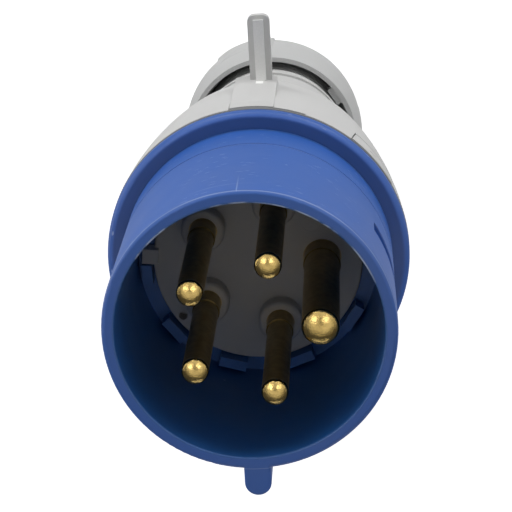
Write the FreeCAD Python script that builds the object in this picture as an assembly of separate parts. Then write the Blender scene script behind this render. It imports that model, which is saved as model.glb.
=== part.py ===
import FreeCAD
import Part
import math
import os

# Industrial pin and sleeve plug, five pins, 16 A size. The plug stands on the rear face of its gland nut,
# with its mouth up: +Z runs along the plug's axis to the mouth, the hook is on the +Y side, the key on the
# -Y side and the earth pin on the +X side. The origin is on the axis, in the rear face of the gland nut.
# Lengths are in millimetres and angles in degrees, counted from +X towards +Y.

os.makedirs("parts", exist_ok=True)

Vector = FreeCAD.Vector
up = Vector(0, 0, 1)

# Sleeve: the round collar round the pins, with its flange, key and the skirt that enters the housing.
sleeve_radius = 27.0
sleeve_wall = 2.4
sleeve_draft = 0.4
sleeve_length = 41.9
rim_outer_round = 0.8
rim_inner_round = 0.3
flange_overhang = 3.5
flange_thickness = 2.2
flange_round = 1.2
flange_back_round = 0.3
key_width = 5.0
key_height = 5.4
key_front_round = 0.5
groove_ahead_of_flange = 10.4
groove_width = 0.5
groove_depth = 0.1
label_half_angle = 30.0
label_depth = 0.8
label_from_rim = 16.0
label_width = 5.1
skirt_length = 13.3
skirt_wall = 2.6
seat_thickness = 2.2
seat_below_face = 1.5

# Tabs on the sleeve's seat, which stand round the contact carrier.
tab_count = 10
tab_first_angle = 2.0
tab_width = 5.6
tab_height = 2.3
tab_root_thickness = 2.0

# Bayonet lugs on the skirt and the slots for them in the housing.
lug_count = 3
lug_first_angle = 98.0
lug_width = 6.0
lug_thickness = 2.4
lug_height = 0.8
lug_lift = 1.6
bayonet_turn = 26.0
bayonet_clearance = 0.25

# Contact carrier: the insert that holds the pins.
carrier_margin = 3.6
carrier_face_depth = 41.3
carrier_thickness = 8.0
carrier_flange_thickness = 2.2
carrier_clearance = 0.15
carrier_key_angle = 174.6
carrier_key_width = 3.0
carrier_key_reach = 2.2
carrier_key_height = 1.6
boss_radius = 4.4
boss_height = 3.8
boss_round = 0.8
pilot_hole_radius = 0.9
pilot_hole_depth = 3.0
pilot_hole_angle = 215.5
pilot_hole_inset = 1.5
ejector_mark_radius = 1.9
ejector_mark_width = 0.25
ejector_mark_depth = 0.12
ejector_mark_angle = 34.0
ejector_mark_circle = 13.3

# Pins, on one circle at a pitch of 72 degrees, with the thick earth pin first. The circle is a share of the
# sleeve's radius, so that the pins keep their place in a larger or smaller sleeve.
pin_circle_share = 0.47778
pin_radius = 2.5
earth_pin_radius = 3.5
pin_tip_below_rim = 0.1
pin_cap_share = 1.35
pin_edge_share = 0.35
pin_collar_extra = 0.22
pin_collar_length = 5.0
pin_shank_extra = 0.3
pin_shank_below_boss = 0.5
pin_shoulder_thickness = 2.0
pin_shoulder_extra = 0.8
pin_fit_clearance = 0.05
terminal_radius = 4.6
earth_terminal_radius = 5.0
terminal_length = 20.0
terminal_edge = 0.4
wire_hole_radius = 2.2
wire_hole_depth = 14.0

# Terminal screws and the leaf that keeps each screw off the strands of the wire.
screw_radius = 1.9
screw_thread_clearance = 0.05
screw_head_radius = 3.1
screw_head_height = 2.2
screw_from_rear = 6.5
screw_tip_above_wire_hole = 0.2
screw_head_stand_off = 1.2
screw_slot_width = 0.8
screw_slot_depth = 1.1
leaf_thickness = 0.35
leaf_width = 2.5
leaf_length = 10.0
leaf_lip = 2.9
leaf_clearance = 0.1

# Retainer: the plate behind the carrier, with fins between the terminals, held by one screw.
retainer_inset = 0.6
retainer_thickness = 3.0
retainer_hole_clearance = 0.12
fin_thickness = 1.6
fin_length = 18.0
fin_inset = 0.8
hub_radius = 4.5
retainer_screw_radius = 1.5
retainer_screw_head_radius = 2.9
retainer_screw_head_height = 2.0
retainer_screw_bite = 5.5
retainer_screw_seat = 2.0
retainer_screw_head_clearance = 0.3

# Flange seal between the flange and the housing.
seal_thickness = 1.2
seal_inset = 0.0
seal_width = 1.7
seal_tongue_clearance = 0.1

# Housing: the grey rear shell, from its front edge down to its neck and threaded spigot.
shell_past_flange = 0.1
housing_wall = 2.7
housing_length = 82.0
housing_front_round = 0.4
band_length = 8.7
band_taper = 0.5
shell_curve_length = 32.0
shell_curve_bulge = 0.4
shell_taper = 4.6
neck_step = 1.45
neck_length = 10.0
neck_end_chamfer = 0.4
neck_groove_from_end = 2.0
neck_groove_width = 2.2
neck_groove_depth = 0.6
neck_groove_slope = 0.5
cone_wall = 2.5
skirt_clearance = 0.15
housing_bore_margin = 1.2
spigot_radius = 17.2
spigot_wall = 1.55
neck_gap = 5.7
deep_notch_from = 81.5
deep_notch_to = 98.0
deep_notch_depth = 1.2
shallow_notch_from = 69.2
shallow_notch_depth = 0.5

# Raised pad on the housing with the hook that a socket's lid catches.
pad_left = 4.3
pad_right = 4.5
pad_below_edge = 0.35
pad_length = 28.3
pad_tail = 8.0
pad_line_width = 0.15
pad_line_depth = 0.12
hook_offset = 1.25
hook_width = 4.65
hook_thickness = 2.0
hook_height = 13.3
hook_corner = 1.4
hook_behind_edge = 24.7
hook_web_width = 2.1
hook_web_foot = 1.3
hook_web_head = 2.2
hook_web_below_tip = 0.6
hook_rear_below_tip = 1.6
hook_rear_foot = 7.0
hook_rear_head = 2.6

# Lock button, in a notch of the housing's front edge.
lock_angle = 38.0
lock_width = 12.6
lock_rear_width = 9.6
lock_height = 8.7
lock_clearance = 0.25
lock_rear_clearance = 0.55
lock_foot_margin = 1.4
lock_foot_thickness = 1.6
lock_foot_clearance = 0.1
lock_foot_below_carrier = 0.2
lock_travel = 2.9
lock_slot_length = 1.9
lock_slot_width = 0.5
lock_slot_depth = 0.6
lock_pocket_margin = 0.7

# Gland nut with its three thumb ramps and three inner lugs.
nut_height = 25.0
nut_lip_outside_spigot = 3.4
nut_belly_outside_spigot = 4.65
nut_belly_height = 14.6
nut_foot_outside_spigot = 2.4
nut_foot_height = 2.2
nut_rear_outside_spigot = 0.6
nut_rear_wall = 3.0
nut_mouth_clearance = 2.3
nut_mouth_depth = 9.0
nut_thread_clearance = 1.0
cable_hole_inside_spigot = 6.7
ramp_count = 3
ramp_height = 0.55
ramp_start = 87.0
ramp_step = 3.0
ramp_flat = 18.0
ramp_run = 20.0
ramp_sink = 0.2
ramp_low = 3.5
ramp_high = 21.5
inner_lug_angle = 32.6
inner_lug_width = 4.3
inner_lug_height = 1.5
inner_lug_below_lip = 0.5
inner_lug_length = 2.2

# Inside the gland: pressure ring, clamping cage and rubber cable seal.
ring_thread_clearance = 1.6
ring_seat_clearance = 0.05
ring_hole_margin = 0.4
ring_thickness = 2.8
ring_boss_height = 2.8
ring_boss_clearance = 0.3
cage_flange_thickness = 1.6
cage_flange_inset = 0.2
cage_wall = 2.3
cage_clearance = 0.15
cage_length = 16.0
cage_slots = 8
cage_slot_width = 1.6
cage_slot_from = 3.0
cage_lip = 2.0
cage_lip_thickness = 1.5
cage_floor = 7.4
cable_seal_wall = 5.2
cable_seal_clearance = 0.1
cable_seal_rib = 1.1
cable_seal_ribs = 4

# Heights above the nut's rear face.
neck_end = nut_height + neck_gap
neck_top = neck_end + neck_length
housing_front = neck_end + housing_length
flange_back = housing_front + seal_thickness
flange_front = flange_back + flange_thickness
rim = flange_front + sleeve_length
skirt_end = flange_back - skirt_length
carrier_face = rim - carrier_face_depth
carrier_back = carrier_face - carrier_thickness
seat_top = carrier_face - seat_below_face
seat_bottom = seat_top - seat_thickness
retainer_back = carrier_back - retainer_thickness
terminal_rear = carrier_back - terminal_length
band_end = housing_front - band_length
curve_end = band_end - shell_curve_length
spigot_end = cage_floor + cage_flange_thickness
hook_front = housing_front - hook_behind_edge

# Radii that follow from the sleeve's radius and the fits.
sleeve_bore = sleeve_radius - sleeve_wall
flange_radius = sleeve_radius + flange_overhang
key_reach = sleeve_radius + key_height
carrier_radius = sleeve_bore - carrier_margin
pin_circle_radius = sleeve_radius * pin_circle_share
retainer_radius = carrier_radius - retainer_inset
fin_reach = retainer_radius - fin_inset
housing_front_radius = flange_radius + shell_past_flange
cone_start_radius = housing_front_radius - shell_taper
pad_radius = housing_front_radius - pad_below_edge
hook_reach = housing_front_radius + hook_height
housing_bore = housing_front_radius - housing_wall
skirt_radius = housing_bore - skirt_clearance
skirt_bore = skirt_radius - skirt_wall
seat_radius = carrier_radius + carrier_clearance

# Radii of the gland, which follow from the housing's spigot.
spigot_bore = spigot_radius - spigot_wall
neck_radius = spigot_radius + neck_step
nut_lip_radius = spigot_radius + nut_lip_outside_spigot
nut_belly_radius = spigot_radius + nut_belly_outside_spigot
nut_foot_radius = spigot_radius + nut_foot_outside_spigot
nut_rear_radius = spigot_radius + nut_rear_outside_spigot
nut_mouth_radius = spigot_radius + nut_mouth_clearance
nut_thread_radius = spigot_radius + nut_thread_clearance
cable_hole_radius = spigot_radius - cable_hole_inside_spigot
ring_radius = nut_thread_radius - ring_thread_clearance
cage_radius = spigot_bore - cage_clearance
cage_bore = cage_radius - cage_wall
cable_seal_hole = cage_bore - cable_seal_wall

pin_names = ["earth_pin", "pin_l1", "pin_l2", "pin_l3", "neutral_pin"]
leaf_names = ["earth_leaf", "leaf_l1", "leaf_l2", "leaf_l3", "neutral_leaf"]
screw_names = ["earth_screw", "screw_l1", "screw_l2", "screw_l3", "neutral_screw"]
pin_pitch = 360.0 / len(pin_names)


def cylinder(radius, low, high):
    return Part.makeCylinder(radius, high - low, Vector(0, 0, low))


def ring(outer, inner, low, high):
    return cylinder(outer, low, high).cut(cylinder(inner, low, high))


def block(x_low, x_high, y_low, y_high, z_low, z_high):
    size = (x_high - x_low, y_high - y_low, z_high - z_low)
    return Part.makeBox(*size, Vector(x_low, y_low, z_low))


def turned(pieces):
    """Turn a closed outline about the axis; a piece has two points for a line and three for an arc."""
    edges = []
    for piece in pieces:
        corners = [Vector(radius, 0, height) for radius, height in piece]
        if len(corners) == 2:
            edges.append(Part.LineSegment(*corners).toShape())
        else:
            edges.append(Part.Arc(*corners).toShape())
    return Part.Face(Part.Wire(edges)).revolve(Vector(0, 0, 0), up, 360)


def turned_polygon(points):
    """Turn a closed outline of straight lines about the axis."""
    return turned([[start, end] for start, end in zip(points, points[1:] + points[:1])])


def spun(shape, angle):
    """Give a copy of the shape, turned about the plug's axis."""
    copy = shape.copy()
    copy.rotate(Vector(0, 0, 0), up, angle)
    return copy


def spun_set(shape, count, first=0.0):
    """Give copies of the shape spaced evenly round the axis."""
    return [spun(shape, first + number * 360.0 / count) for number in range(count)]


def sector(outer, inner, low, high, start, end):
    """Give a piece of a ring between two angles."""
    outer_solid = Part.makeCylinder(outer, high - low, Vector(0, 0, low), up, end - start)
    return spun(outer_solid.cut(cylinder(inner, low, high)), start)


def round_circles(shape, radius, height, amount):
    """Round the edges that lie on one circle about the axis."""
    chosen = []
    for edge in shape.Edges:
        box = edge.BoundBox
        flat = abs(box.ZMin - height) < 0.01 and abs(box.ZMax - height) < 0.01
        distances = [math.hypot(vertex.X, vertex.Y) for vertex in edge.Vertexes]
        if flat and isinstance(edge.Curve, Part.Circle) and abs(edge.Curve.Radius - radius) < 0.01:
            if abs(distances[0] - radius) < 0.01:
                chosen.append(edge)
    return shape.makeFillet(amount, chosen)


def at_pin(shape, number):
    """Move a shape from the axis out to the place of one pin."""
    copy = shape.copy()
    copy.translate(Vector(pin_circle_radius, 0, 0))
    return spun(copy, number * pin_pitch)


def shaft_radius(number):
    return earth_pin_radius if number == 0 else pin_radius


def block_radius(number):
    return earth_terminal_radius if number == 0 else terminal_radius


def make_sleeve():
    bore_floor = sleeve_bore - sleeve_draft
    body = turned_polygon([
        (sleeve_bore, rim),
        (sleeve_radius, rim),
        (sleeve_radius, flange_front),
        (flange_radius, flange_front),
        (flange_radius, flange_back),
        (skirt_radius, flange_back),
        (skirt_radius, skirt_end),
        (skirt_bore, skirt_end),
        (skirt_bore, seat_bottom),
        (seat_radius, seat_bottom),
        (seat_radius, seat_top),
        (bore_floor, seat_top),
    ])
    body = round_circles(body, sleeve_radius, rim, rim_outer_round)
    body = round_circles(body, sleeve_bore, rim, rim_inner_round)
    body = round_circles(body, flange_radius, flange_front, flange_round)
    body = round_circles(body, flange_radius, flange_back, flange_back_round)
    body = body.fuse(make_key())
    groove_low = flange_front + groove_ahead_of_flange
    groove = ring(sleeve_radius + 1.0, sleeve_radius - groove_depth, groove_low, groove_low + groove_width)
    key_guard = block(-key_width / 2.0, key_width / 2.0, -key_reach, 0, groove_low, groove_low + groove_width)
    body = body.cut(groove.cut(key_guard))
    label_high = rim - label_from_rim
    label = sector(sleeve_radius + 1.0, sleeve_radius - label_depth, label_high - label_width, label_high,
                   -label_half_angle, label_half_angle)
    body = body.cut(label)
    body = body.fuse(spun_set(make_tab(), tab_count, tab_first_angle))
    body = body.fuse(spun_set(make_lug(), lug_count, lug_first_angle))
    body = body.cut(make_carrier_key(carrier_clearance))
    body = body.cut(lock_block(lock_pocket_margin, skirt_bore - 1.0, skirt_radius + 1.0))
    return body.removeSplitter()


def make_key():
    """The rib on the sleeve that only lets the plug enter a socket one way round."""
    half = key_width / 2.0
    centre = key_reach - half
    rib = block(-half, half, -centre, -(sleeve_radius - sleeve_wall / 2.0), flange_front, rim)
    nose = Part.makeCylinder(half, rim - flange_front, Vector(0, -centre, flange_front))
    nose = nose.fuse(rib).removeSplitter()
    front = [edge for edge in nose.Edges if abs(edge.BoundBox.ZMin - rim) < 0.01]
    front = [edge for edge in front if edge.BoundBox.YMin < -sleeve_radius + 0.01]
    outer = [edge for edge in front if edge.BoundBox.YMax < -sleeve_radius + sleeve_wall]
    return nose.makeFillet(key_front_round, outer)


def make_tab():
    """One tab: a flat post on the seat, close to the edge of the carrier."""
    post_inner = seat_radius + carrier_clearance
    post_outer = post_inner + tab_root_thickness
    half = tab_width / 2.0
    return block(post_inner, post_outer, -half, half, seat_top, carrier_face + tab_height)


def make_lug():
    """One bayonet lug on the outside of the skirt."""
    low = skirt_end + lug_lift
    lug = block(skirt_bore + 0.5, skirt_radius + lug_height + 1.0, -lug_width / 2.0, lug_width / 2.0,
                low, low + lug_thickness)
    return lug.common(ring(skirt_radius + lug_height, skirt_radius - 0.5, low, low + lug_thickness))


def make_carrier_key(clearance):
    """The small lug that stops the carrier from turning in the sleeve, or the notch for it."""
    half = carrier_key_width / 2.0 + clearance
    reach = carrier_radius + carrier_key_reach + clearance
    top = carrier_face + (tab_height if clearance > 0 else carrier_key_height)
    lug = block(carrier_radius - 1.0, reach, -half, half, seat_bottom, top)
    return spun(lug, carrier_key_angle)


def lock_block(margin, inner, outer):
    """The space of the lock button in plan, grown by a margin, between two radii."""
    foot = lock_foot_margin + margin
    half = lock_width / 2.0 + foot
    low = housing_front - lock_height - foot
    foot_top = seat_bottom - carrier_flange_thickness - lock_foot_below_carrier
    high = flange_back if margin > 0 else foot_top
    shape = block(inner - 4.0, outer + 2.0, -half, half, low, high)
    return spun(shape.common(ring(outer, inner, low, high)), lock_angle)


def lock_face(side_gap, rear_gap, inner, outer):
    """The shape of the lock button's face, wider at the housing's edge, drawn in by gaps at sides and rear."""
    front_half = lock_width / 2.0 - side_gap
    rear_half = lock_rear_width / 2.0 - side_gap
    low = housing_front - lock_height + rear_gap
    high = housing_front - side_gap
    corners = [(-front_half, high), (front_half, high), (rear_half, low), (-rear_half, low), (-front_half, high)]
    outline = Part.makePolygon([Vector(inner, y, z) for y, z in corners])
    return Part.Face(outline).extrude(Vector(outer - inner, 0, 0))


def make_carrier():
    body = cylinder(carrier_radius, carrier_back, carrier_face)
    body = round_circles(body, carrier_radius, carrier_face, 0.3)
    flange_outer = skirt_bore - carrier_clearance
    body = body.fuse(cylinder(flange_outer, seat_bottom - carrier_flange_thickness, seat_bottom))
    body = body.fuse(make_carrier_key(0.0))
    shoulder_top = carrier_back + pin_shoulder_thickness
    for number in range(len(pin_names)):
        radius = shaft_radius(number)
        if number > 0:
            boss = cylinder(boss_radius, carrier_face - 0.5, carrier_face + boss_height)
            boss = round_circles(boss, boss_radius, carrier_face + boss_height, boss_round)
            body = body.fuse(at_pin(boss, number))
        hole = cylinder(radius + pin_shank_extra + pin_fit_clearance, carrier_back, carrier_face + boss_height)
        seat = cylinder(block_radius(number) + pin_shoulder_extra + pin_fit_clearance, carrier_back, shoulder_top)
        body = body.cut(at_pin(hole.fuse(seat), number))
    body = body.cut(cylinder(retainer_screw_radius + screw_thread_clearance, carrier_back,
                             carrier_back + retainer_screw_bite + 0.2))
    pilot = cylinder(pilot_hole_radius, carrier_face - pilot_hole_depth, carrier_face)
    pilot.translate(Vector(carrier_radius - pilot_hole_inset, 0, 0))
    body = body.cut(spun(pilot, pilot_hole_angle))
    mark = ring(ejector_mark_radius, ejector_mark_radius - ejector_mark_width,
                carrier_face - ejector_mark_depth, carrier_face)
    mark.translate(Vector(ejector_mark_circle, 0, 0))
    body = body.cut(spun(mark, ejector_mark_angle))
    return body.removeSplitter()


def make_pin(number):
    """One turned pin with its terminal at the rear end."""
    radius = shaft_radius(number)
    end_radius = block_radius(number)
    shank = radius + pin_shank_extra
    shoulder = end_radius + pin_shoulder_extra
    shoulder_top = carrier_back + pin_shoulder_thickness
    boss_top = carrier_face + (boss_height if number > 0 else 0.0)
    shank_top = boss_top - pin_shank_below_boss
    collar = radius + pin_collar_extra
    collar_top = boss_top + pin_collar_length
    tip = rim - pin_tip_below_rim
    # The tip is a shallow cap that runs into a tighter round at its edge, without a corner between them.
    cap = radius * pin_cap_share
    edge = radius * pin_edge_share
    lean = math.asin((radius - edge) / (cap - edge))
    edge_lean = (lean + math.pi / 2.0) / 2.0
    cap_middle = tip - cap
    edge_middle = cap_middle + (cap - edge) * math.cos(lean)
    body = turned([
        [(0, terminal_rear), (end_radius - terminal_edge, terminal_rear)],
        [(end_radius - terminal_edge, terminal_rear), (end_radius, terminal_rear + terminal_edge)],
        [(end_radius, terminal_rear + terminal_edge), (end_radius, carrier_back)],
        [(end_radius, carrier_back), (shoulder, carrier_back)],
        [(shoulder, carrier_back), (shoulder, shoulder_top)],
        [(shoulder, shoulder_top), (shank, shoulder_top)],
        [(shank, shoulder_top), (shank, shank_top)],
        [(shank, shank_top), (collar, shank_top)],
        [(collar, shank_top), (collar, collar_top)],
        [(collar, collar_top), (radius, collar_top + pin_collar_extra)],
        [(radius, collar_top + pin_collar_extra), (radius, edge_middle)],
        [
            (radius, edge_middle),
            (radius - edge + edge * math.sin(edge_lean), edge_middle + edge * math.cos(edge_lean)),
            (cap * math.sin(lean), cap_middle + cap * math.cos(lean)),
        ],
        [
            (cap * math.sin(lean), cap_middle + cap * math.cos(lean)),
            (cap * math.sin(lean / 2.0), cap_middle + cap * math.cos(lean / 2.0)),
            (0, tip),
        ],
        [(0, tip), (0, terminal_rear)],
    ])
    body = body.cut(cylinder(wire_hole_radius, terminal_rear, terminal_rear + wire_hole_depth))
    screw_hole = Part.makeCylinder(screw_radius + screw_thread_clearance, end_radius,
                                   Vector(0, 0, terminal_rear + screw_from_rear), Vector(1, 0, 0))
    return at_pin(body.cut(screw_hole), number)


def make_terminal_screw(number):
    end_radius = block_radius(number)
    height = terminal_rear + screw_from_rear
    tip = wire_hole_radius + screw_tip_above_wire_hole
    head = end_radius + screw_head_stand_off
    outward = Vector(1, 0, 0)
    shank = Part.makeCylinder(screw_radius, head - tip, Vector(tip, 0, height), outward)
    cap = Part.makeCylinder(screw_head_radius, screw_head_height, Vector(head, 0, height), outward)
    cap_end = head + screw_head_height
    slot = block(cap_end - screw_slot_depth, cap_end, -screw_slot_width / 2.0, screw_slot_width / 2.0,
                 height - screw_head_radius, height + screw_head_radius)
    return at_pin(shank.fuse(cap).removeSplitter().cut(slot), number)


def make_leaf(number):
    """A thin bent strip under the screw, hooked over the rear face of the terminal."""
    chord = math.sqrt(wire_hole_radius ** 2 - (leaf_width / 2.0) ** 2)
    outer = chord - leaf_clearance
    inner = outer - leaf_thickness
    half = leaf_width / 2.0
    low = terminal_rear - leaf_thickness
    strip = block(inner, outer, -half, half, low, low + leaf_length)
    lip = block(inner, outer + leaf_lip, -half, half, low, terminal_rear)
    return at_pin(strip.fuse(lip).removeSplitter(), number)


def make_retainer():
    body = cylinder(retainer_radius, retainer_back, carrier_back)
    fin_end = retainer_back - fin_length
    body = body.fuse(cylinder(hub_radius, fin_end, retainer_back))
    fin = block(0, fin_reach, -fin_thickness / 2.0, fin_thickness / 2.0, fin_end, retainer_back)
    body = body.fuse(spun_set(fin, len(pin_names), pin_pitch / 2.0))
    for number in range(len(pin_names)):
        hole = cylinder(block_radius(number) + retainer_hole_clearance, retainer_back, carrier_back)
        body = body.cut(at_pin(hole, number))
    seat = retainer_back - retainer_screw_seat
    head_hole = retainer_screw_head_radius + retainer_screw_head_clearance
    body = body.cut(cylinder(head_hole, fin_end, seat))
    body = body.cut(cylinder(retainer_screw_radius + screw_thread_clearance, seat, carrier_back))
    return body.removeSplitter()


def make_retainer_screw():
    seat = retainer_back - retainer_screw_seat
    low = seat - retainer_screw_head_height
    head = cylinder(retainer_screw_head_radius, low, seat)
    shank = cylinder(retainer_screw_radius, seat, carrier_back + retainer_screw_bite)
    slot_half = screw_slot_width / 2.0
    reach = retainer_screw_head_radius
    slot = block(-reach, reach, -slot_half, slot_half, low, low + screw_slot_depth)
    cross = spun(slot, 90)
    return head.fuse(shank).removeSplitter().cut(slot).cut(cross)


def make_flange_seal():
    """A flat ring with a thick part and a less thick part that fill the notches of the housing."""
    outer = flange_radius - seal_inset
    inner = outer - seal_width
    body = ring(outer, inner, housing_front, flange_back)
    gap = math.degrees(seal_tongue_clearance / outer)
    deep = sector(outer, inner, housing_front - deep_notch_depth + seal_tongue_clearance, flange_back,
                  deep_notch_from + gap, deep_notch_to - gap)
    shallow = sector(outer, inner, housing_front - shallow_notch_depth + seal_tongue_clearance, flange_back,
                     shallow_notch_from + gap, deep_notch_from + gap)
    return body.fuse([deep, shallow]).removeSplitter()


def housing_outline():
    """The outside of the shell, from its front edge down to the end of the neck."""
    band_radius = housing_front_radius - band_taper
    middle_height = (band_end + curve_end) / 2.0
    middle_radius = (band_radius + cone_start_radius) / 2.0 + shell_curve_bulge
    groove_low = neck_end + neck_groove_from_end
    groove_high = groove_low + neck_groove_width
    groove_floor = neck_radius - neck_groove_depth
    return [
        [(housing_front_radius, housing_front), (band_radius, band_end)],
        [(band_radius, band_end), (middle_radius, middle_height), (cone_start_radius, curve_end)],
        [(cone_start_radius, curve_end), (neck_radius, neck_top)],
        [(neck_radius, neck_top), (neck_radius, groove_high)],
        [(neck_radius, groove_high), (groove_floor, groove_high - neck_groove_slope)],
        [(groove_floor, groove_high - neck_groove_slope), (groove_floor, groove_low)],
        [(groove_floor, groove_low), (neck_radius, groove_low)],
        [(neck_radius, groove_low), (neck_radius, neck_end + neck_end_chamfer)],
        [(neck_radius, neck_end + neck_end_chamfer), (neck_radius - neck_end_chamfer, neck_end)],
        [(neck_radius - neck_end_chamfer, neck_end), (spigot_radius, neck_end)],
        [(spigot_radius, neck_end), (spigot_radius, spigot_end)],
    ]


def make_housing():
    outside = turned(housing_outline() + [
        [(spigot_radius, spigot_end), (0, spigot_end)],
        [(0, spigot_end), (0, housing_front)],
        [(0, housing_front), (housing_front_radius, housing_front)],
    ])
    outside = round_circles(outside, housing_front_radius, housing_front, housing_front_round)
    outside = outside.fuse(make_pad()).fuse(make_hook()).removeSplitter()
    bore_end = skirt_end - housing_bore_margin
    cone_bore = cone_start_radius - cone_wall
    inside = turned_polygon([
        (0, spigot_end),
        (spigot_bore, spigot_end),
        (spigot_bore, neck_top),
        (cone_bore, curve_end),
        (housing_bore, bore_end),
        (housing_bore, housing_front),
        (0, housing_front),
    ])
    body = outside.cut(inside)
    body = body.cut(make_pad_lines())
    notch_outer = housing_front_radius + 2.0
    deep = sector(notch_outer, housing_bore - 1.0, housing_front - deep_notch_depth, housing_front,
                  deep_notch_from, deep_notch_to)
    shallow = sector(notch_outer, housing_bore - 1.0, housing_front - shallow_notch_depth, housing_front,
                     shallow_notch_from, deep_notch_from)
    body = body.cut([deep, shallow])
    body = body.cut(spun_set(make_bayonet_slot(), lug_count, lug_first_angle))
    body = body.cut(spun(lock_face(0.0, 0.0, housing_bore - 2.0, notch_outer), lock_angle))
    return body.removeSplitter()


def make_bayonet_slot():
    """The way of one lug: in from the front edge and then round to its locked place."""
    outer = skirt_radius + lug_height + bayonet_clearance
    inner = housing_bore - 1.0
    low = skirt_end + lug_lift - bayonet_clearance
    high = low + lug_thickness + 2.0 * bayonet_clearance
    half = math.degrees((lug_width / 2.0 + bayonet_clearance) / skirt_radius)
    way_round = sector(outer, inner, low, high, -half, half + bayonet_turn)
    way_in = sector(outer, inner, low, housing_front, bayonet_turn - half, bayonet_turn + half)
    return way_round.fuse(way_in).removeSplitter()


def make_pad():
    """The straight pad that carries the hook, flush with the shell at its front edge."""
    pad_end = housing_front - pad_length
    core = cone_start_radius - 2.0
    slab = block(-pad_left, pad_right, core, pad_radius + 1.0, pad_end - pad_tail, housing_front)
    limit = turned_polygon([
        (0, pad_end - pad_tail),
        (core, pad_end - pad_tail),
        (pad_radius, pad_end),
        (pad_radius, housing_front),
        (0, housing_front),
    ])
    return slab.common(limit)


def make_pad_lines():
    low = hook_front
    deep = housing_front_radius - pad_line_depth - 1.0
    left = block(-pad_left - pad_line_width, -pad_left, deep, housing_front_radius + 1.0, low, housing_front)
    right = block(pad_right, pad_right + pad_line_width, deep, housing_front_radius + 1.0, low, housing_front)
    shell = ring(housing_front_radius + 1.0, pad_radius - pad_line_depth, low, housing_front)
    return left.fuse(right).common(shell)


def make_hook():
    """The upright plate with rounded corners, a web in front and a longer web behind."""
    foot = cone_start_radius
    half = hook_width / 2.0
    rear = hook_front - hook_thickness
    plate = block(hook_offset - half, hook_offset + half, foot, hook_reach, rear, hook_front)
    corners = []
    for edge in plate.Edges:
        box = edge.BoundBox
        along = box.ZMax - box.ZMin > hook_thickness - 0.01
        if along and abs(box.YMin - hook_reach) < 0.01 and abs(box.YMax - hook_reach) < 0.01:
            corners.append(edge)
    plate = plate.makeFillet(hook_corner, corners)
    web_top = hook_reach - hook_web_below_tip
    rear_top = hook_reach - hook_rear_below_tip
    outline = [
        (foot, hook_front + hook_web_foot),
        (web_top, hook_front + hook_web_head),
        (rear_top, rear - hook_rear_head),
        (foot, rear - hook_rear_foot),
        (foot, hook_front + hook_web_foot),
    ]
    left = hook_offset - hook_web_width / 2.0
    wire = Part.makePolygon([Vector(left, y, z) for y, z in outline])
    web = Part.Face(wire).extrude(Vector(hook_web_width, 0, 0))
    return plate.fuse(web).removeSplitter()


def make_lock_button():
    """A key in the notch, flush with the housing, with a wider foot that holds it from inside.

    Pressed in by its travel, the key clears the housing's wall and still misses the carrier's flange.
    """
    foot_outer = housing_bore - lock_foot_clearance
    foot_inner = foot_outer - lock_foot_thickness
    low = housing_front - lock_height + lock_rear_clearance
    high = housing_front - lock_clearance
    foot_top = seat_bottom - carrier_flange_thickness - lock_foot_below_carrier
    reach = housing_front_radius + 1.0
    face = lock_face(lock_clearance, lock_rear_clearance, skirt_bore + lock_travel, reach)
    stem = lock_face(lock_clearance, lock_rear_clearance, foot_inner, reach)
    face = face.fuse(stem.common(cylinder(reach * 2.0, low, foot_top)))
    slope = band_taper / band_length
    skin = turned_polygon([
        (0, low),
        (housing_front_radius - slope * (housing_front - low), low),
        (housing_front_radius - slope * (housing_front - high), high),
        (0, high),
    ])
    face = face.common(skin)
    slot_middle = (low + high) / 2.0
    slot = block(housing_front_radius - lock_slot_depth - 0.5, housing_front_radius + 1.0,
                 -lock_slot_length / 2.0, lock_slot_length / 2.0,
                 slot_middle - lock_slot_width / 2.0, slot_middle + lock_slot_width / 2.0)
    key = spun(face.cut(slot), lock_angle)
    foot = lock_block(0.0, foot_inner, foot_outer)
    return key.fuse(foot).removeSplitter()


def make_nut():
    outside = turned([
        [(0, 0), (nut_rear_radius, 0)],
        [(nut_rear_radius, 0), (nut_foot_radius, nut_foot_height)],
        [(nut_foot_radius, nut_foot_height), (nut_belly_radius, nut_belly_height), (nut_lip_radius, nut_height)],
        [(nut_lip_radius, nut_height), (0, nut_height)],
        [(0, nut_height), (0, 0)],
    ])
    outside = outside.fuse(spun_set(make_ramp(), ramp_count)).removeSplitter()
    inside = turned_polygon([
        (0, 0),
        (cable_hole_radius, 0),
        (cable_hole_radius, nut_rear_wall),
        (nut_thread_radius, nut_rear_wall),
        (nut_thread_radius, nut_height - nut_mouth_depth),
        (nut_mouth_radius, nut_height - nut_mouth_depth),
        (nut_mouth_radius, nut_height),
        (0, nut_height),
    ])
    body = outside.cut(inside)
    return body.fuse(spun_set(make_inner_lug(), ramp_count, inner_lug_angle)).removeSplitter()


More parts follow.
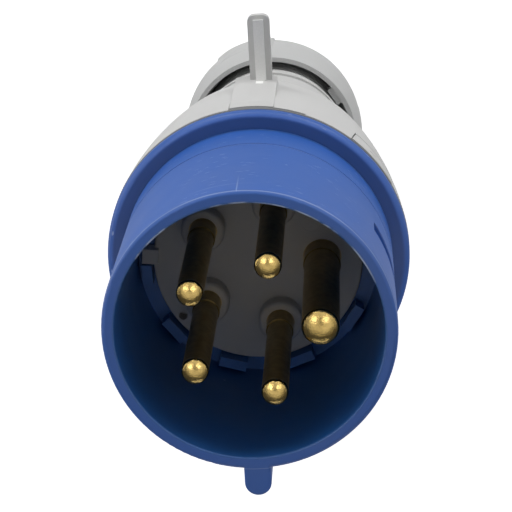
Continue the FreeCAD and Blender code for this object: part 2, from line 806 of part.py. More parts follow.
def make_ramp():
    """One thumb ramp: a soft step, a flat stretch and a slope back into the nut's round side."""
    top = nut_belly_radius + ramp_height
    low = nut_belly_radius - ramp_sink
    root = nut_foot_radius - 1.0
    flat_from = ramp_start + ramp_step
    flat_to = flat_from + ramp_flat
    ramp_end = flat_to + ramp_run
    places = [
        (low, ramp_start),
        (nut_belly_radius + ramp_height * 0.6, ramp_start + ramp_step * 0.45),
        (top, flat_from),
        (top, (flat_from + flat_to) / 2.0),
        (top, flat_to),
        (nut_belly_radius + ramp_height * 0.4, flat_to + ramp_run * 0.5),
        (low, ramp_end),
    ]
    crest = Part.BSplineCurve()
    crest.interpolate([polar(radius, angle) for radius, angle in places])
    back = [polar(root, angle) for angle in (ramp_end, flat_to, ramp_start)]
    edges = [
        crest.toShape(),
        Part.LineSegment(polar(*places[-1]), back[0]).toShape(),
        Part.Arc(*back).toShape(),
        Part.LineSegment(back[2], polar(*places[0])).toShape(),
    ]
    prism = Part.Face(Part.Wire(edges)).extrude(Vector(0, 0, ramp_high - ramp_low))
    prism.translate(Vector(0, 0, ramp_low))
    limit = turned([
        [(0, ramp_low), (nut_foot_radius, ramp_low)],
        [(nut_foot_radius, ramp_low), (top, nut_belly_height), (nut_lip_radius - 0.3, ramp_high)],
        [(nut_lip_radius - 0.3, ramp_high), (0, ramp_high)],
        [(0, ramp_high), (0, ramp_low)],
    ])
    return prism.common(limit)


def polar(radius, angle):
    turn = math.radians(angle)
    return Vector(radius * math.cos(turn), radius * math.sin(turn), 0)


def make_inner_lug():
    """One lug inside the mouth of the nut."""
    top = nut_height - inner_lug_below_lip
    half = inner_lug_width / 2.0
    lug = block(nut_mouth_radius - inner_lug_height, nut_mouth_radius + 0.3, -half, half,
                top - inner_lug_length, top)
    return lug


def make_pressure_ring():
    """The loose ring that the nut pushes up against the rubber seal without turning it."""
    hole = cable_hole_radius + ring_hole_margin
    seat = nut_rear_wall + ring_seat_clearance
    base_top = nut_rear_wall + ring_thickness
    boss = cage_bore - ring_boss_clearance
    return turned_polygon([
        (hole, seat),
        (ring_radius, seat),
        (ring_radius, base_top - 0.6),
        (ring_radius - 0.6, base_top),
        (boss, base_top),
        (boss, base_top + ring_boss_height),
        (hole, base_top + ring_boss_height),
    ])


def make_cage():
    """The slotted cup that closes on the seal, with its flange against the end of the spigot."""
    top = spigot_end + cage_length
    flange_outer = spigot_radius - cage_flange_inset
    body = turned_polygon([
        (cage_bore, cage_floor),
        (flange_outer, cage_floor),
        (flange_outer, spigot_end),
        (cage_radius, spigot_end),
        (cage_radius, top - 0.8),
        (cage_radius - 0.8, top),
        (cage_bore - cage_lip, top),
        (cage_bore - cage_lip, top - cage_lip_thickness),
        (cage_bore, top - cage_lip_thickness),
    ])
    slot = block(0, cage_radius + 1.0, -cage_slot_width / 2.0, cage_slot_width / 2.0,
                 spigot_end + cage_slot_from, top)
    return body.cut(spun_set(slot, cage_slots))


def make_cable_seal():
    """The rubber sleeve that grips the cable, with ribs in its bore."""
    low = nut_rear_wall + ring_thickness + ring_boss_height + cable_seal_clearance
    high = spigot_end + cage_length - cage_lip_thickness - cable_seal_clearance
    outer = cage_bore - cable_seal_clearance
    step = (high - low) / cable_seal_ribs
    points = [(outer, high), (outer, low)]
    for number in range(cable_seal_ribs):
        foot = low + number * step
        points.append((cable_seal_hole, foot))
        points.append((cable_seal_hole, foot + step * 0.5))
        if number < cable_seal_ribs - 1:
            points.append((cable_seal_hole + cable_seal_rib, foot + step * 0.75))
    points.append((cable_seal_hole, high))
    return turned_polygon(points)


nodes = {
    "sleeve": make_sleeve(),
    "contact_carrier": make_carrier(),
    "pin_retainer": make_retainer(),
    "retainer_screw": make_retainer_screw(),
    "flange_seal": make_flange_seal(),
    "housing": make_housing(),
    "lock_button": make_lock_button(),
    "gland_nut": make_nut(),
    "pressure_ring": make_pressure_ring(),
    "clamping_cage": make_cage(),
    "cable_seal": make_cable_seal(),
}
for number, name in enumerate(pin_names):
    nodes[name] = make_pin(number)
    nodes[leaf_names[number]] = make_leaf(number)
    nodes[screw_names[number]] = make_terminal_screw(number)

for name, shape in nodes.items():
    shape.exportStep("parts/" + name + ".step")
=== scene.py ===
import math

import bpy
from mathutils import Matrix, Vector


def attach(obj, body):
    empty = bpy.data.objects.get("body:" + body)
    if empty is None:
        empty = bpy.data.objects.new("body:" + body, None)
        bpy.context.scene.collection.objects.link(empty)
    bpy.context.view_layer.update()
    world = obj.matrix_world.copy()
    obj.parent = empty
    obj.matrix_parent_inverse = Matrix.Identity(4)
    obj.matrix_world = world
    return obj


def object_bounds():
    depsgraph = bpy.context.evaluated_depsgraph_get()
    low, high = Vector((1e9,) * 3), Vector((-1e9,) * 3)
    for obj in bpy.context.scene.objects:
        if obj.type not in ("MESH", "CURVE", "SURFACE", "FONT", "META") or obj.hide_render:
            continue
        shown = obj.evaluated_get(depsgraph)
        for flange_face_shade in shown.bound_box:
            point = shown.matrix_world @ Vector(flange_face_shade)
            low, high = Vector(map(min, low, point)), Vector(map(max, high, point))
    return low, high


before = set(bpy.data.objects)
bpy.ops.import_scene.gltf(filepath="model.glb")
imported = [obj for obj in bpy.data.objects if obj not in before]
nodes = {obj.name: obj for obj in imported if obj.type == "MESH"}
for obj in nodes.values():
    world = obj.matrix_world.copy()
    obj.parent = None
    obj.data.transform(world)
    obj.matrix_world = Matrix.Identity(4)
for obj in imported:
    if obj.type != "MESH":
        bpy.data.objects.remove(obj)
cad_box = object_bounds()


# Sleeve: the round blue collar with its flange, key, tabs and skirt. It is injection moulded in one piece
# from polyamide, with a parting line down the hook side and a thin fringe of flash round the mouth's inner
# edge. Handling has left faint pale scratches, rubbed arcs and specks on its outside.
def new_material(name):
    material = bpy.data.materials.new(name)
    material.use_nodes = True
    tree = material.node_tree
    tree.nodes.clear()
    output = tree.nodes.new("ShaderNodeOutputMaterial")
    shader = tree.nodes.new("ShaderNodeBsdfPrincipled")
    tree.links.new(shader.outputs["BSDF"], output.inputs["Surface"])
    return material, tree, shader


def place_coordinates(tree):
    return tree.nodes.new("ShaderNodeTexCoord").outputs["Object"]


def math_step(tree, operation, first, second=None):
    step = tree.nodes.new("ShaderNodeMath")
    step.operation = operation
    for socket, value in zip(step.inputs, (first, second)):
        if isinstance(value, (int, float)):
            socket.default_value = value
        elif value is not None:
            tree.links.new(value, socket)
    return step.outputs[0]


def plus(tree, first, second):
    return math_step(tree, "ADD", first, second)


def times(tree, first, second):
    return math_step(tree, "MULTIPLY", first, second)


def larger(tree, first, second):
    return math_step(tree, "MAXIMUM", first, second)


def distance_from(tree, value, place):
    return math_step(tree, "ABSOLUTE", math_step(tree, "SUBTRACT", value, place))


def ramp_step(tree, value, low, high, start=0.0, end=1.0):
    step = tree.nodes.new("ShaderNodeMapRange")
    step.interpolation_type = "SMOOTHSTEP"
    step.inputs["From Min"].default_value = low
    step.inputs["From Max"].default_value = high
    step.inputs["To Min"].default_value = start
    step.inputs["To Max"].default_value = end
    tree.links.new(value, step.inputs["Value"])
    return step.outputs[0]


def noise_step(tree, vector, scale, detail=3.0, roughness=0.5):
    step = tree.nodes.new("ShaderNodeTexNoise")
    step.inputs["Scale"].default_value = scale
    step.inputs["Detail"].default_value = detail
    step.inputs["Roughness"].default_value = roughness
    tree.links.new(vector, step.inputs["Vector"])
    return step.outputs["Fac"]


def colour_mix(tree, factor, first, second):
    step = tree.nodes.new("ShaderNodeMix")
    step.data_type = "RGBA"
    sockets = (step.inputs["Factor"], step.inputs["A"], step.inputs["B"])
    for socket, value in zip(sockets, (factor, first, second)):
        if isinstance(value, tuple):
            socket.default_value = (*value, 1.0)
        elif isinstance(value, (int, float)):
            socket.default_value = value
        else:
            tree.links.new(value, socket)
    return [s for s in step.outputs if s.type == "RGBA"][0]


def split_place(tree, vector):
    parts = tree.nodes.new("ShaderNodeSeparateXYZ")
    tree.links.new(vector, parts.inputs[0])
    return parts.outputs


def round_the_axis(tree, x, y):
    """Gives a place's distance from the plug's axis, and its angle round it in radians."""
    radius = math_step(tree, "SQRT", plus(tree, times(tree, x, x), times(tree, y, y)))
    return radius, math_step(tree, "ARCTAN2", y, x)


def painted(tree, shader, colour):
    tree.links.new(colour, shader.inputs["Base Color"])


def roughened(tree, shader, roughness):
    tree.links.new(roughness, shader.inputs["Roughness"])


def dress(names, material):
    """Gives the pieces of these names one material."""
    for name in names:
        nodes[name].data.materials.clear()
        nodes[name].data.materials.append(material)


def moulded_group():
    """Moulded plastic's surface: slow waves of colour, fine grain for the bump, and a mask of specks."""
    group = bpy.data.node_groups.new("moulded surface", "ShaderNodeTree")
    group.interface.new_socket("Vector", in_out="INPUT", socket_type="NodeSocketVector")
    for name in ("Cloud Scale", "Grain Scale", "Speck Scale"):
        group.interface.new_socket(name, in_out="INPUT", socket_type="NodeSocketFloat")
    for name in ("Cloud", "Grain", "Specks"):
        group.interface.new_socket(name, in_out="OUTPUT", socket_type="NodeSocketFloat")
    inside = group.nodes.new("NodeGroupInput")
    outside = group.nodes.new("NodeGroupOutput")
    cloud = group.nodes.new("ShaderNodeTexNoise")
    cloud.inputs["Detail"].default_value = 3.0
    group.links.new(inside.outputs["Vector"], cloud.inputs["Vector"])
    group.links.new(inside.outputs["Cloud Scale"], cloud.inputs["Scale"])
    group.links.new(cloud.outputs["Fac"], outside.inputs["Cloud"])
    grain = group.nodes.new("ShaderNodeTexNoise")
    grain.inputs["Detail"].default_value = 4.0
    grain.inputs["Roughness"].default_value = 0.6
    group.links.new(inside.outputs["Vector"], grain.inputs["Vector"])
    group.links.new(inside.outputs["Grain Scale"], grain.inputs["Scale"])
    group.links.new(grain.outputs["Fac"], outside.inputs["Grain"])
    specks = group.nodes.new("ShaderNodeTexVoronoi")
    group.links.new(inside.outputs["Vector"], specks.inputs["Vector"])
    group.links.new(inside.outputs["Speck Scale"], specks.inputs["Scale"])
    choose = group.nodes.new("ShaderNodeSeparateColor")
    group.links.new(specks.outputs["Color"], choose.inputs[0])
    rare = ramp_step(group, choose.outputs[0], 0.93, 0.95)
    near = ramp_step(group, specks.outputs["Distance"], 0.10, 0.02)
    group.links.new(times(group, rare, near), outside.inputs["Specks"])
    return group


moulded_surface = moulded_group()


def moulded(tree, vector, cloud_scale, grain_scale, speck_scale):
    step = tree.nodes.new("ShaderNodeGroup")
    step.node_tree = moulded_surface
    step.inputs["Cloud Scale"].default_value = cloud_scale
    step.inputs["Grain Scale"].default_value = grain_scale
    step.inputs["Speck Scale"].default_value = speck_scale
    tree.links.new(vector, step.inputs["Vector"])
    return step.outputs["Cloud"], step.outputs["Grain"], step.outputs["Specks"]


def bumped(tree, shader, height, strength, distance):
    bump = tree.nodes.new("ShaderNodeBump")
    bump.inputs["Strength"].default_value = strength
    bump.inputs["Distance"].default_value = distance
    tree.links.new(height, bump.inputs["Height"])
    tree.links.new(bump.outputs["Normal"], shader.inputs["Normal"])


def sleeve_material():
    rim = cad_box[1][2]
    collar_radius = 0.027
    bore_radius = 0.0246
    flange_front = 0.1161
    material, tree, shader = new_material("blue moulded plastic")
    vector = place_coordinates(tree)
    x, y, z = split_place(tree, vector)
    radius, angle = round_the_axis(tree, x, y)
    cloud, grain, specks = moulded(tree, vector, 60.0, 2600.0, 260.0)
    blue = colour_mix(tree, cloud, (0.013, 0.083, 0.345), (0.019, 0.101, 0.402))
    outside = ramp_step(tree, radius, collar_radius - 0.00025, collar_radius - 0.00010)
    # The bore is painted a darker, deeper blue than the outside: painted shade for the little light that
    # gets into it.
    bore_shade = ramp_step(tree, radius, bore_radius + 0.0005, bore_radius + 0.0002)
    blue = colour_mix(tree, bore_shade, blue, (0.004, 0.070, 0.255))
    # Painted shade deepens the flange's flat face, from the collar to its rounded edge, where the collar
    # keeps out much of the light.
    flat_edge = 0.0299
    inside_edge = ramp_step(tree, radius, flat_edge, flat_edge - 0.0010)
    near_face = ramp_step(tree, z, flange_front + 0.0017, flange_front + 0.0003)
    flange_face_shade = times(tree, times(tree, inside_edge, near_face), outside)
    blue = colour_mix(tree, flange_face_shade, blue, (0.007, 0.052, 0.215))
    # Thin pale scratches run round and along the collar, and most of them are near the mouth.
    wrapped = tree.nodes.new("ShaderNodeCombineXYZ")
    tree.links.new(times(tree, angle, collar_radius), wrapped.inputs[0])
    tree.links.new(z, wrapped.inputs[1])
    marks = None
    scratch_families = ((0.5, 9.0, 70.0, 1.3), (-1.1, 12.0, 55.0, 4.1), (1.35, 14.0, 45.0, 7.7))
    for turn, stretch, scale, seed in scratch_families:
        mapping = tree.nodes.new("ShaderNodeMapping")
        mapping.inputs["Location"].default_value = (seed, seed * 0.7, 0.0)
        mapping.inputs["Rotation"].default_value = (0.0, 0.0, turn)
        mapping.inputs["Scale"].default_value = (1.0, stretch, 1.0)
        tree.links.new(wrapped.outputs[0], mapping.inputs["Vector"])
        cell = tree.nodes.new("ShaderNodeTexVoronoi")
        cell.voronoi_dimensions = "2D"
        cell.inputs["Scale"].default_value = scale
        tree.links.new(mapping.outputs[0], cell.inputs["Vector"])
        line = ramp_step(tree, cell.outputs["Distance"], 0.045, 0.012)
        marks = line if marks is None else larger(tree, marks, line)
    patchy = ramp_step(tree, noise_step(tree, vector, 85.0, 2.0), 0.46, 0.60)
    scratches = times(tree, times(tree, marks, patchy), outside)
    pale = larger(tree, times(tree, scratches, 0.60), times(tree, specks, 0.40))
    # The parting line stands on the hook side and fades towards the flange.
    line_place = ramp_step(tree, distance_from(tree, x, -0.0008), 0.00016, 0.00004)
    hook_side = math_step(tree, "GREATER_THAN", y, collar_radius - 0.0002)
    near_mouth = ramp_step(tree, z, rim - 0.011, rim - 0.001)
    parting = times(tree, times(tree, line_place, hook_side), near_mouth)
    pale = larger(tree, pale, times(tree, parting, 0.45))
    # The shallow groove round the collar is painted paler, a painted fill of light that takes the edge off
    # its shade.
    groove_light = ramp_step(tree, radius, collar_radius - 0.00003, collar_radius - 0.00007)
    groove_light = times(tree, groove_light, outside)
    pale = larger(tree, pale, times(tree, groove_light, 0.30))
    # A faint rubbed ring runs round the collar a little behind the mouth.
    ring = ramp_step(tree, distance_from(tree, z, rim - 0.0046), 0.00030, 0.00006)
    broken = ramp_step(tree, noise_step(tree, vector, 40.0), 0.45, 0.6)
    ring = times(tree, times(tree, ring, outside), broken)
    pale = larger(tree, pale, times(tree, ring, 0.28))
    # Flash left by the mould whitens the inner edge of the mouth here and there.
    at_the_rim = ramp_step(tree, z, rim - 0.0010, rim - 0.0005)
    at_the_bore = ramp_step(tree, radius, bore_radius + 0.00040, bore_radius + 0.00018)
    flash_place = times(tree, at_the_rim, at_the_bore)
    here_and_there = ramp_step(tree, noise_step(tree, vector, 210.0, 4.0), 0.45, 0.56)
    hook_half = ramp_step(tree, y, 0.006, 0.014)
    flash = times(tree, times(tree, flash_place, here_and_there), hook_half)
    pale = larger(tree, pale, flash)
    painted(tree, shader, colour_mix(tree, pale, blue, (0.44, 0.53, 0.74)))
    satin = ramp_step(tree, cloud, 0.3, 0.7, 0.44, 0.52)
    roughened(tree, shader, plus(tree, satin, times(tree, pale, 0.2)))
    shader.inputs["Specular IOR Level"].default_value = 0.6
    bumped(tree, shader, plus(tree, times(tree, grain, 0.3), scratches), 0.10, 0.0002)
    return material


dress(["sleeve"], sleeve_material())


# Contact carrier, retainer: pale grey glass-filled insert that holds the pins, and the plate with fins that
# closes it from behind. Moulded with a dull, slightly uneven surface.
def insert_material():
    material, tree, shader = new_material("grey insert plastic")
    vector = place_coordinates(tree)
    cloud, grain, specks = moulded(tree, vector, 90.0, 3200.0, 420.0)
    grey = colour_mix(tree, cloud, (0.44, 0.44, 0.42), (0.51, 0.51, 0.49))
    painted(tree, shader, colour_mix(tree, times(tree, specks, 0.5), grey, (0.16, 0.16, 0.15)))
    roughened(tree, shader, ramp_step(tree, cloud, 0.3, 0.7, 0.52, 0.64))
    shader.inputs["Specular IOR Level"].default_value = 0.25
    bumped(tree, shader, grain, 0.12, 0.0002)
    return material


dress(["contact_carrier", "pin_retainer"], insert_material())


# Pins and terminals: turned brass. The lathe leaves fine rings along each shaft, and handling dulls the
# shaft more than the round tip.
def pin_material():
    material, tree, shader = new_material("turned brass")
    vector = place_coordinates(tree)
    z = split_place(tree, vector)["Z"]
    # Rings left by the lathe lie across each shaft and grow coarser towards the tip.
    stretched = tree.nodes.new("ShaderNodeMapping")
    stretched.inputs["Scale"].default_value = (0.02, 0.02, 1.0)
    tree.links.new(vector, stretched.inputs["Vector"])
    rings = noise_step(tree, stretched.outputs[0], 2600.0, 2.0)
    near_tip = ramp_step(tree, z, 0.138, 0.154, 0.25, 1.0)
    # The tip is dented and rubbed by sockets, so it glitters in many small patches.
    tip_start = 0.1555
    tip = ramp_step(tree, z, tip_start, tip_start + 0.001)
    fine_dents = times(tree, noise_step(tree, vector, 3600.0, 2.0), 0.5)
    broad_dents = times(tree, noise_step(tree, vector, 900.0, 2.0), 1.4)
    dents = plus(tree, broad_dents, fine_dents)
    tone = noise_step(tree, vector, 700.0, 3.0)
    patches = ramp_step(tree, tone, 0.38, 0.62)
    brass = colour_mix(tree, patches, (0.330, 0.236, 0.082), (0.285, 0.201, 0.070))
    painted(tree, shader, brass)
    shader.inputs["Metallic"].default_value = 1.0
    shaft_rough = ramp_step(tree, tone, 0.35, 0.65, 0.37, 0.40)
    roughened(tree, shader, math_step(tree, "SUBTRACT", shaft_rough, times(tree, tip, 0.19)))
    fine_rings = times(tree, times(tree, rings, near_tip), 0.03)
    height = plus(tree, fine_rings, times(tree, dents, tip))
    bumped(tree, shader, height, 0.26, 0.0002)
    return material


dress(["earth_pin", "pin_l1", "pin_l2", "pin_l3", "neutral_pin"], pin_material())


# Leaves: rolled brass strip, bent once, under each terminal screw.
def leaf_material():
    material, tree, shader = new_material("rolled brass strip")
    vector = place_coordinates(tree)
    grain = noise_step(tree, vector, 1500.0, 3.0)
    painted(tree, shader, colour_mix(tree, grain, (0.72, 0.55, 0.26), (0.60, 0.44, 0.19)))
    shader.inputs["Metallic"].default_value = 1.0
    roughened(tree, shader, ramp_step(tree, grain, 0.3, 0.7, 0.30, 0.45))
    return material


dress(["earth_leaf", "leaf_l1", "leaf_l2", "leaf_l3", "neutral_leaf"], leaf_material())


# Screws: zinc-plated steel, one in each terminal and one through the retainer.
def screw_material():
    material, tree, shader = new_material("zinc plated steel")
    vector = place_coordinates(tree)
    mottle = noise_step(tree, vector, 1200.0, 3.0)
    painted(tree, shader, colour_mix(tree, mottle, (0.56, 0.56, 0.54), (0.66, 0.65, 0.60)))
    shader.inputs["Metallic"].default_value = 1.0
    roughened(tree, shader, ramp_step(tree, mottle, 0.3, 0.7, 0.25, 0.42))
    return material


terminal_screws = ["earth_screw", "screw_l1", "screw_l2", "screw_l3", "neutral_screw"]
dress(terminal_screws + ["retainer_screw"], screw_material())


# Flange seal: a flat ring of dark grey rubber between the flange and the housing, with a thicker part that
# fills the notch over the hook.
def seal_material():
    material, tree, shader = new_material("grey seal rubber")
    vector = place_coordinates(tree)
    cloud, grain, _ = moulded(tree, vector, 150.0, 2800.0, 400.0)
    painted(tree, shader, colour_mix(tree, cloud, (0.110, 0.115, 0.120), (0.165, 0.170, 0.175)))
    shader.inputs["Roughness"].default_value = 0.75
    bumped(tree, shader, grain, 0.2, 0.0002)
    return material


dress(["flange_seal"], seal_material())


# Housing and lock button: grey polyamide shell with its pad, hook, neck and spigot, moulded in one, and the
# key in its front edge. The gate under the hook leaves a rough streak on the hook's front web; its
# near-white colour there is partly the gate mark and partly a painted highlight for the light on that face.
def housing_material():
    material, tree, shader = new_material("grey moulded plastic")
    vector = place_coordinates(tree)
    x, y, z = split_place(tree, vector)
    cloud, grain, specks = moulded(tree, vector, 45.0, 2400.0, 300.0)
    grey = colour_mix(tree, cloud, (0.540, 0.540, 0.531), (0.594, 0.594, 0.585))
    grey = colour_mix(tree, times(tree, specks, 0.25), grey, (0.30, 0.30, 0.29))
    # The streak covers the web's front face, which starts where the hook leaves the pad.
    web_middle = 0.00125
    pad_surface = 0.0302
    web_foot = 0.0884
    web_top = 0.0915
    web_side = ramp_step(tree, distance_from(tree, x, web_middle), 0.00112, 0.00100)
    past_the_pad = math_step(tree, "GREATER_THAN", y, pad_surface)
    above_the_foot = math_step(tree, "GREATER_THAN", z, web_foot)
    below_the_top = math_step(tree, "LESS_THAN", z, web_top)
    web_height = times(tree, above_the_foot, below_the_top)
    rough_web = times(tree, times(tree, web_side, past_the_pad), web_height)
    sparkle = ramp_step(tree, noise_step(tree, vector, 2600.0, 4.0, 0.7), 0.50, 0.66)
    # Near-white paint on the web's front face: the gate mark's own paleness and a painted highlight
    # together.
    pale = times(tree, rough_web, plus(tree, times(tree, sparkle, 0.15), 0.85))
    painted(tree, shader, colour_mix(tree, pale, grey, (0.93, 0.93, 0.91)))
    roughened(tree, shader, ramp_step(tree, cloud, 0.3, 0.7, 0.38, 0.44))
    height = plus(tree, times(tree, grain, 0.35), times(tree, sparkle, rough_web))
    bumped(tree, shader, height, 0.10, 0.0003)
    return material


housing_grey = housing_material()
dress(["housing", "lock_button"], housing_grey)


# Spigot thread: a coarse ridge of six and a half turns stands on the housing's spigot, and the gland nut
# runs on it. The ridge has a trapezoid section and is part of the housing's moulding.
def thread_tree():
    tree = bpy.data.node_groups.new("spigot thread", "GeometryNodeTree")
    for name, kind, value in (
        ("Root Radius", "NodeSocketFloat", 0.0171),
        ("Ridge Height", "NodeSocketFloat", 0.00085),
        ("Pitch", "NodeSocketFloat", 0.003),
        ("Turns", "NodeSocketFloat", 6.5),
        ("Start Height", "NodeSocketFloat", 0.0101),
        ("Finish", "NodeSocketMaterial", None),
    ):
        socket = tree.interface.new_socket(name, in_out="INPUT", socket_type=kind)
        if value is not None:
            socket.default_value = value
    tree.interface.new_socket("Geometry", in_out="OUTPUT", socket_type="NodeSocketGeometry")
    inside = tree.nodes.new("NodeGroupInput")
    outside = tree.nodes.new("NodeGroupOutput")
    spiral = tree.nodes.new("GeometryNodeCurveSpiral")
    spiral.inputs["Resolution"].default_value = 72
    tree.links.new(inside.outputs["Turns"], spiral.inputs["Rotations"])
    tree.links.new(inside.outputs["Root Radius"], spiral.inputs["Start Radius"])
    tree.links.new(inside.outputs["Root Radius"], spiral.inputs["End Radius"])
    rise = tree.nodes.new("ShaderNodeMath")
    rise.operation = "MULTIPLY"
    tree.links.new(inside.outputs["Turns"], rise.inputs[0])
    tree.links.new(inside.outputs["Pitch"], rise.inputs[1])
    tree.links.new(rise.outputs[0], spiral.inputs["Height"])
    spiral.inputs["Reverse"].default_value = False
    section = tree.nodes.new("GeometryNodeCurvePrimitiveQuadrilateral")
    section.mode = "TRAPEZOID"
    section.inputs["Bottom Width"].default_value = 0.0022
    section.inputs["Top Width"].default_value = 0.0008
    section.inputs["Offset"].default_value = 0.0
    tree.links.new(inside.outputs["Ridge Height"], section.inputs["Height"])
    tilt = tree.nodes.new("GeometryNodeSetCurveNormal")
    tilt.mode = "Z_UP"
    tree.links.new(spiral.outputs["Curve"], tilt.inputs["Curve"])
    sweep = tree.nodes.new("GeometryNodeCurveToMesh")
    sweep.inputs["Fill Caps"].default_value = True
    tree.links.new(tilt.outputs["Curve"], sweep.inputs["Curve"])
    turned_section = tree.nodes.new("GeometryNodeTransform")
    turned_section.inputs["Rotation"].default_value = (0.0, 0.0, math.radians(90))
    tree.links.new(section.outputs["Curve"], turned_section.inputs["Geometry"])
    tree.links.new(turned_section.outputs["Geometry"], sweep.inputs["Profile Curve"])
    lift = tree.nodes.new("GeometryNodeTransform")
    place = tree.nodes.new("ShaderNodeCombineXYZ")
    tree.links.new(inside.outputs["Start Height"], place.inputs["Z"])
    tree.links.new(place.outputs[0], lift.inputs["Translation"])
    tree.links.new(sweep.outputs["Mesh"], lift.inputs["Geometry"])
    solid = tree.nodes.new("GeometryNodeRealizeInstances")
    tree.links.new(lift.outputs["Geometry"], solid.inputs["Geometry"])
    paint = tree.nodes.new("GeometryNodeSetMaterial")
    tree.links.new(solid.outputs["Geometry"], paint.inputs["Geometry"])
    tree.links.new(inside.outputs["Finish"], paint.inputs["Material"])
    tree.links.new(paint.outputs["Geometry"], outside.inputs["Geometry"])
    return tree


def grown(name, tree, values):
    """Runs a geometry tree with named values and gives its result as a plain mesh object."""
    holder = bpy.data.objects.new(name + "_maker", bpy.data.meshes.new(name + "_maker"))
    bpy.context.scene.collection.objects.link(holder)
    modifier = holder.modifiers.new("grow", "NODES")
    modifier.node_group = tree
    for item in tree.interface.items_tree:
        if item.in_out == "INPUT" and item.name in values:
            modifier[item.identifier] = values[item.name]
    bpy.context.view_layer.update()
    made = bpy.data.meshes.new_from_object(holder.evaluated_get(bpy.context.evaluated_depsgraph_get()))
    holder.modifiers.clear()
    bpy.data.objects.remove(holder)
    made.name = name
    piece = bpy.data.objects.new(name, made)
    bpy.context.scene.collection.objects.link(piece)
    return piece


spigot_thread = grown("spigot_thread", thread_tree(), {"Finish": housing_grey})
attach(spigot_thread, "plug")


# Gland nut: a grey moulded nut with three thumb ramps outside and three lugs inside its mouth.
def nut_material():
    material, tree, shader = new_material("grey nut plastic")
    vector = place_coordinates(tree)
    cloud, grain, specks = moulded(tree, vector, 55.0, 2400.0, 320.0)
    grey = colour_mix(tree, cloud, (0.490, 0.495, 0.490), (0.545, 0.550, 0.545))
    painted(tree, shader, colour_mix(tree, times(tree, specks, 0.3), grey, (0.28, 0.28, 0.27)))
    roughened(tree, shader, ramp_step(tree, cloud, 0.3, 0.7, 0.42, 0.52))
    bumped(tree, shader, grain, 0.10, 0.0002)
    return material


dress(["gland_nut"], nut_material())


# Pressure ring, clamping cage and cable seal: the gland's inside. The ring and the cage are pale plastic,
# and the seal is soft black rubber with ribs in its bore.
def gland_plastic():
    material, tree, shader = new_material("pale gland plastic")
    vector = place_coordinates(tree)
    cloud, grain, _ = moulded(tree, vector, 80.0, 2500.0, 350.0)
    painted(tree, shader, colour_mix(tree, cloud, (0.62, 0.61, 0.57), (0.70, 0.69, 0.65)))
    shader.inputs["Roughness"].default_value = 0.5
    bumped(tree, shader, grain, 0.1, 0.0002)
    return material


def seal_rubber():
    material, tree, shader = new_material("black seal rubber")
    vector = place_coordinates(tree)
    cloud, grain, _ = moulded(tree, vector, 100.0, 2500.0, 350.0)
    painted(tree, shader, colour_mix(tree, cloud, (0.018, 0.018, 0.019), (0.030, 0.030, 0.031)))
    shader.inputs["Roughness"].default_value = 0.7
    bumped(tree, shader, grain, 0.2, 0.0002)
    return material


dress(["pressure_ring", "clamping_cage"], gland_plastic())
dress(["cable_seal"], seal_rubber())


# Floor: a plain pale sheet that the plug stands on. It looks white to the camera and to reflections, and
# keeps the plug's shadow.
def floor_material():
    material = bpy.data.materials.new("white floor")
    material.use_nodes = True
    tree = material.node_tree
    tree.nodes.clear()
    output = tree.nodes.new("ShaderNodeOutputMaterial")
    paper = tree.nodes.new("ShaderNodeBsdfDiffuse")
    paper.inputs["Color"].default_value = (0.82, 0.82, 0.82, 1.0)
    glow = tree.nodes.new("ShaderNodeEmission")
    path = tree.nodes.new("ShaderNodeLightPath")
    mirrored = larger(tree, path.outputs["Is Glossy Ray"], path.outputs["Is Transmission Ray"])
    direct = times(tree, path.outputs["Is Camera Ray"], 0.80)
    strength = plus(tree, direct, times(tree, mirrored, 0.12))
    tree.links.new(strength, glow.inputs["Strength"])
    both = tree.nodes.new("ShaderNodeAddShader")
    tree.links.new(paper.outputs[0], both.inputs[0])
    tree.links.new(glow.outputs[0], both.inputs[1])
    tree.links.new(both.outputs[0], output.inputs["Surface"])
    return material


floor_mesh = bpy.data.meshes.new("floor")
reach = 4.0
corners = [(-reach, -reach, 0), (reach, -reach, 0), (reach, reach, 0), (-reach, reach, 0)]
floor_mesh.from_pydata(corners, [], [(0, 1, 2, 3)])
floor = bpy.data.objects.new("floor", floor_mesh)
floor_mesh.materials.append(floor_material())
bpy.context.scene.collection.objects.link(floor)


# Light: a light tent whose low walls give most of the soft light, and low soft boxes on the hook side, the
# two flanks and the key side. Reflections see a bright top with two brighter panels, a darker shape where
# the camera hangs, and dim walls. The camera itself sees white.
world = bpy.data.worlds.new("light tent")
bpy.context.scene.world = world
world.use_nodes = True
tent = world.node_tree
tent.nodes.clear()
tent_output = tent.nodes.new("ShaderNodeOutputWorld")
direction = tent.nodes.new("ShaderNodeSeparateXYZ")
tent_place = tent.nodes.new("ShaderNodeTexCoord").outputs["Generated"]
tent.links.new(tent_place, direction.inputs[0])
height_share = ramp_step(tent, direction.outputs["Z"], 0.15, 0.80)
tent_light = tent.nodes.new("ShaderNodeBackground")
wall_light = (0.48, 0.48, 0.49)
top_light = (0.15, 0.15, 0.155)
tent.links.new(colour_mix(tent, height_share, wall_light, top_light), tent_light.inputs["Color"])
tent_seen = tent.nodes.new("ShaderNodeBackground")


def nearness(place):
    """Gives the cosine of the angle between a direction in the tent and a chosen one."""
    towards = tent.nodes.new("ShaderNodeVectorMath")
    towards.operation = "DOT_PRODUCT"
    towards.inputs[1].default_value = place
    tent.links.new(tent_place, towards.inputs[0])
    return towards.outputs["Value"]


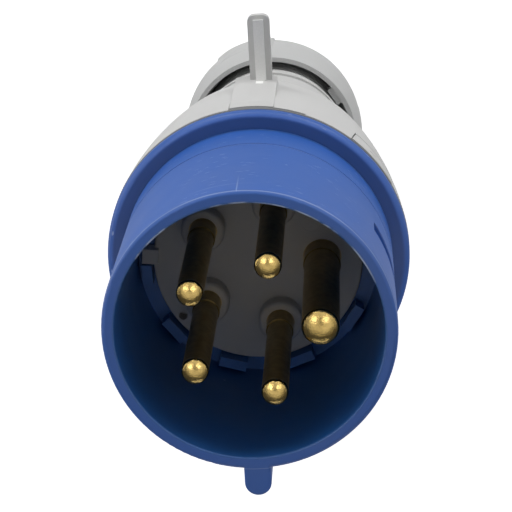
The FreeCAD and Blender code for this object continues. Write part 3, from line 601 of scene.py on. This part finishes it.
camera_direction = (0.0595, 0.355, 0.933)
panel_directions = ((-0.430, 0.439, 0.788), (0.387, 0.418, 0.821))
panel_brightness = 2.9
camera_shade = 0.42
to_the_camera = nearness(camera_direction)
overhead = ramp_step(tent, to_the_camera, 0.20, 0.78)
brightness = ramp_step(tent, to_the_camera, 0.90, 0.99, 1.0, camera_shade)
for panel in panel_directions:
    panel_share = ramp_step(tent, nearness(panel), 0.962, 0.985, 0.0, panel_brightness)
    brightness = plus(tent, brightness, panel_share)
tent_sky = colour_mix(tent, overhead, (0.16, 0.16, 0.165), (1.70, 1.70, 1.71))
tent_shaded = tent.nodes.new("ShaderNodeVectorMath")
tent_shaded.operation = "SCALE"
tent.links.new(tent_sky, tent_shaded.inputs[0])
tent.links.new(brightness, tent_shaded.inputs["Scale"])
tent_path = tent.nodes.new("ShaderNodeLightPath")
by_the_camera = tent_path.outputs["Is Camera Ray"]
tent_backdrop = colour_mix(tent, by_the_camera, tent_shaded.outputs[0], (1.0, 1.0, 1.0))
tent.links.new(tent_backdrop, tent_seen.inputs["Color"])
mirrored = larger(tent, tent_path.outputs["Is Glossy Ray"], tent_path.outputs["Is Transmission Ray"])
seen_share = larger(tent, by_the_camera, mirrored)
tent_mix = tent.nodes.new("ShaderNodeMixShader")
tent.links.new(seen_share, tent_mix.inputs[0])
tent.links.new(tent_light.outputs[0], tent_mix.inputs[1])
tent.links.new(tent_seen.outputs[0], tent_mix.inputs[2])
tent.links.new(tent_mix.outputs[0], tent_output.inputs["Surface"])

lamp_target = Matrix.Translation((0.0, 0.0, 0.09)).translation
for name, place, width, height, power in (
    ("soft_box_hook_left", (-0.28, 0.82, 0.14), 0.44, 0.22, 2.52),
    ("soft_box_hook_right", (0.46, 0.76, 0.14), 0.44, 0.22, 2.60),
    ("soft_box_left", (-0.85, 0.16, 0.19), 0.60, 0.34, 2.5),
    ("soft_box_right", (0.85, 0.16, 0.19), 0.60, 0.34, 1.1),
    ("soft_box_key_side", (0.0, -0.85, 0.19), 0.60, 0.34, 1.3),
):
    lamp = bpy.data.lights.new(name, "AREA")
    lamp.shape = "RECTANGLE"
    lamp.size = width
    lamp.size_y = height
    lamp.energy = power
    box = bpy.data.objects.new(name, lamp)
    bpy.context.scene.collection.objects.link(box)
    box.location = place
    box.rotation_euler = (lamp_target - box.location).to_track_quat("-Z", "Y").to_euler()


# Camera: a long lens that looks down into the mouth, a little from the hook side.
eye = bpy.data.cameras.new("camera")
eye.sensor_width = 36.0
eye.lens = 136.860
eye.clip_start = 0.01
eye.clip_end = 20.0
camera = bpy.data.objects.new("camera", eye)
bpy.context.scene.collection.objects.link(camera)
turn = Matrix((
    (0.997691, 0.039625, 0.055168, 0.0),
    (-0.055171, 0.946520, 0.317894, 0.0),
    (-0.039622, -0.320204, 0.946520, 0.0),
    (0.0, 0.0, 0.0, 1.0),
))
camera.matrix_world = Matrix.Translation((0.0212118, 0.1251273, 0.4867886)) @ turn
bpy.context.scene.camera = camera
bpy.context.scene.view_settings.view_transform = "Standard"
